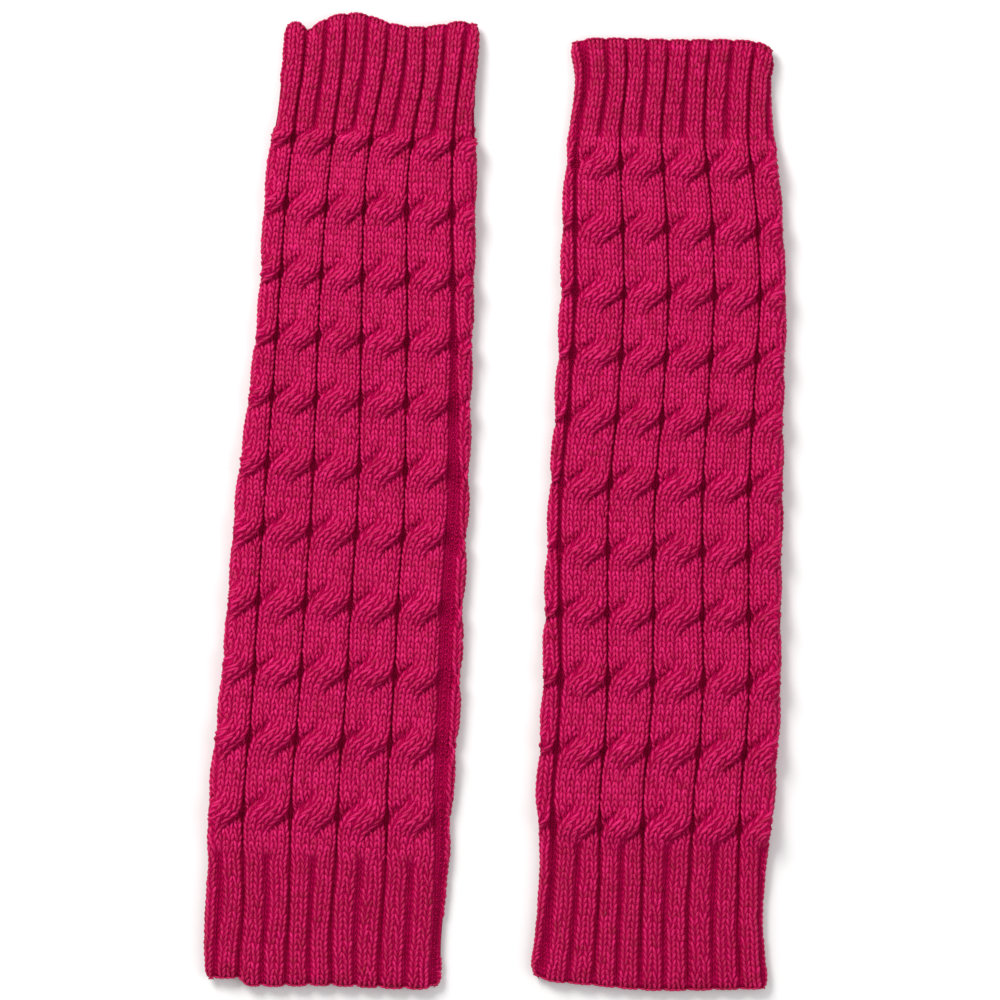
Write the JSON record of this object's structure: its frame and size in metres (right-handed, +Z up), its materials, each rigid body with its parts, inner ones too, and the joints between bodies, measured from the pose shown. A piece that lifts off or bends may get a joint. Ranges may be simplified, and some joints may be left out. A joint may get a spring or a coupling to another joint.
{
  "type": "pair of leg warmers",
  "caption": "Pair of footless cable-knit tubes with ribbed cuffs, laid flat side by side, that keep the lower legs warm.",
  "frame": {"origin": "middle of the pair's box, on the flat underside that the pair lies on", "axes": "+X across the pair to the right one, +Y along the legs to the tops, +Z up out of the fronts"},
  "size_m": [0.2565, 0.4318, 0.01],
  "materials": {
    "cable_yarn": "matte knitted acrylic yarn, raspberry",
    "rib_yarn": "matte knitted acrylic yarn, raspberry, ribbed"
  },
  "bodies": {
    "root": {"left_bottom_cuff": "rib_yarn", "left_leg": "cable_yarn", "left_top_cuff": "rib_yarn", "right_bottom_cuff": "rib_yarn", "right_leg": "cable_yarn", "right_top_cuff": "rib_yarn"}
  },
  "joints": []
}
